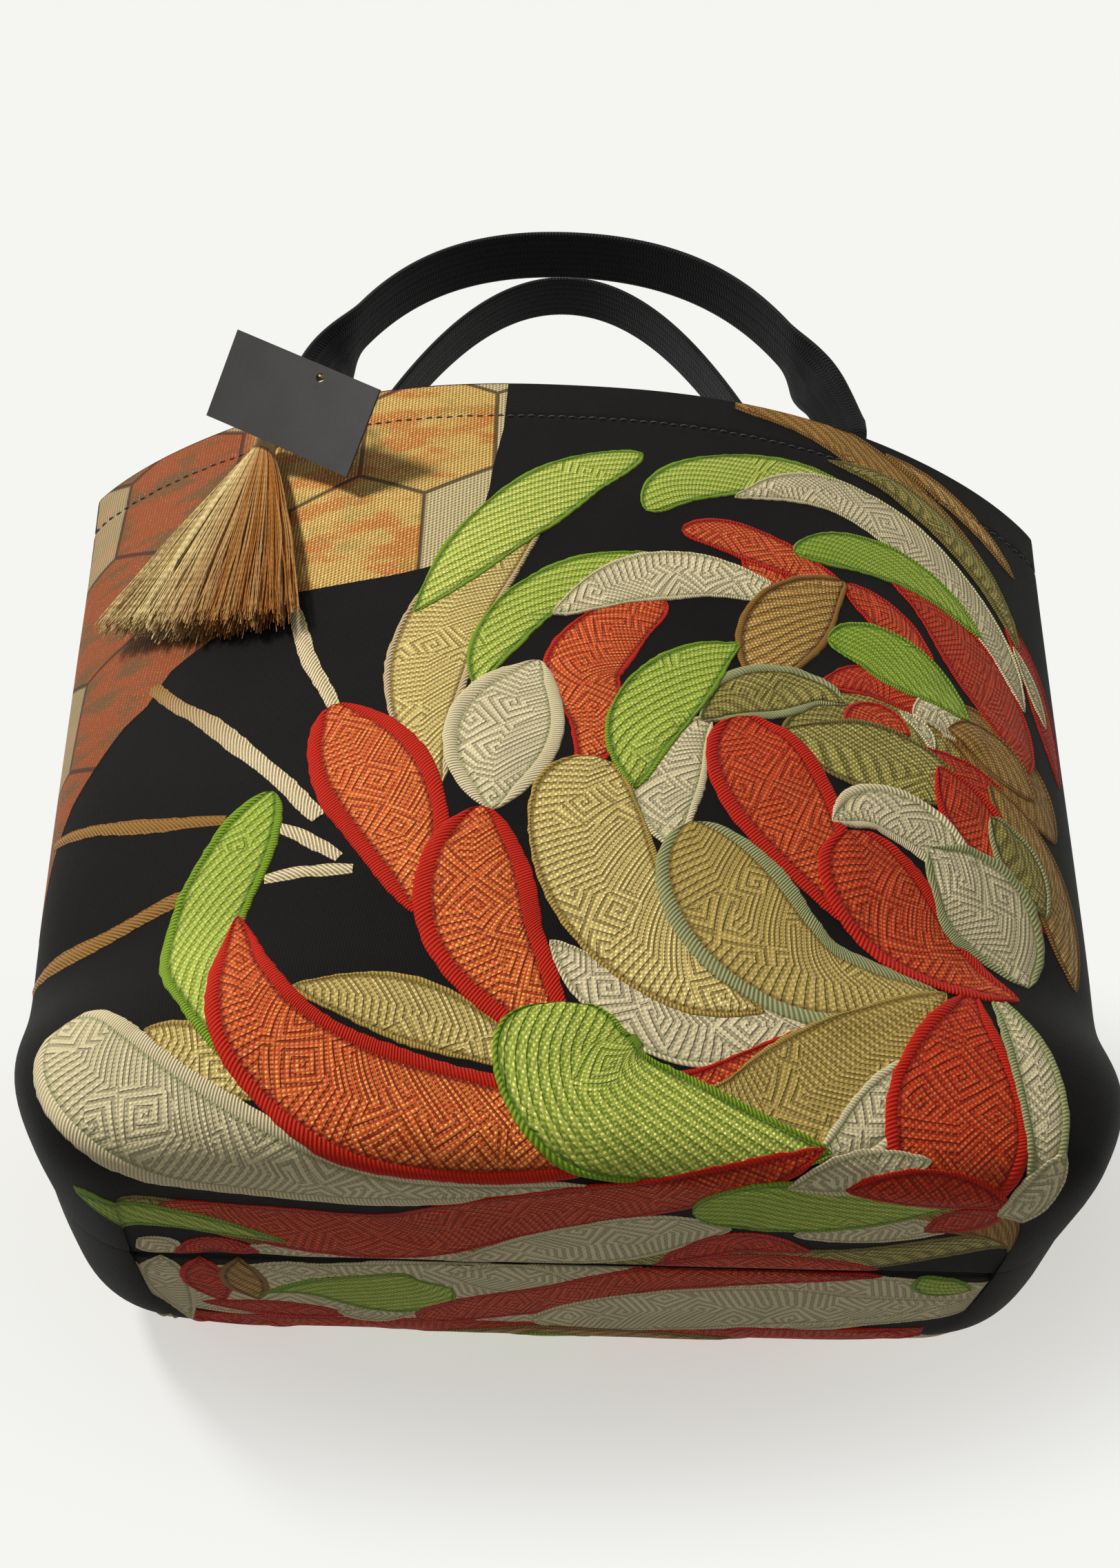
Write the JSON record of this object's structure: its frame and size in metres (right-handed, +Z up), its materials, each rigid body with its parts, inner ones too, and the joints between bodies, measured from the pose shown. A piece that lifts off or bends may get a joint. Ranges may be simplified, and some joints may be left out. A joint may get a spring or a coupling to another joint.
{
  "type": "tote bag",
  "caption": "Boxed-corner cloth tote bag with twin webbing handles, flat stiffened base, lining, magnetic snap, hanging tassel and plain hang tag.",
  "frame": {"origin": "middle of the base on the surface that the bag stands on", "axes": "+Z up to the handles, +X to the right seen from the front, -Y out of the front panel"},
  "size_m": [0.3394, 0.1337, 0.4364],
  "materials": {
    "brocade": "figured brocade, black ground with gold, red, green and off-white figures",
    "lining": "plain matt weave",
    "webbing": "black ribbed webbing",
    "board": "stiff grey board",
    "snap": "satin plated",
    "tassel": "cream and gold silky thread",
    "tag": "dark grey uncoated card"
  },
  "bodies": {
    "bag": {"front_panel": "brocade", "front_lining": "lining", "front_facing": "lining", "front_handle_left_end": "webbing", "front_handle_right_end": "webbing", "magnetic_snap_front": "snap", "rear_panel": "brocade", "rear_lining": "lining", "rear_facing": "lining", "rear_handle_left_end": "webbing", "rear_handle_right_end": "webbing", "magnetic_snap_rear": "snap", "base_board": "board"},
    "front_strap": {"front_handle": "webbing"},
    "rear_strap": {"rear_handle": "webbing"},
    "tassel_cord": {"tassel_loop": "tassel"},
    "tassel": {"tassel_collar": "tassel", "tassel_skirt": "tassel"},
    "tag_cord": {"tag_thread": "tassel"},
    "tag": {"hang_tag": "tag"}
  },
  "joints": [
    {"name": "front_handle_swing", "type": "hinge", "parent": "bag", "child": "front_strap", "pos_m": [0, -0.02927, 0.30504], "axis": [1, 0, 0], "range_deg": [-2, 88]},
    {"name": "rear_handle_swing", "type": "hinge", "parent": "bag", "child": "rear_strap", "pos_m": [0, 0.02927, 0.30504], "axis": [-1, 0, 0], "range_deg": [-2, 110]},
    {"name": "tassel_lift", "type": "hinge", "parent": "bag", "child": "tassel_cord", "pos_m": [-0.095, -0.02927, 0.29928], "axis": [-1, 0, 0], "range_deg": [0, 20]},
    {"name": "tassel_swing", "type": "hinge", "parent": "tassel_cord", "child": "tassel", "pos_m": [-0.10396, -0.03949, 0.27233], "axis": [-0.2856, -0.9561, 0.0659], "range_deg": [-15, 15]},
    {"name": "tag_lift", "type": "hinge", "parent": "tassel_cord", "child": "tag_cord", "pos_m": [-0.095, -0.02927, 0.3018], "axis": [-1, 0, 0], "range_deg": [0, 10]},
    {"name": "tag_turn", "type": "hinge", "parent": "tag_cord", "child": "tag", "pos_m": [-0.08536, -0.06578, 0.27171], "axis": [-0.3428, -0.7071, -0.6184], "range_deg": [-10, 10]}
  ]
}
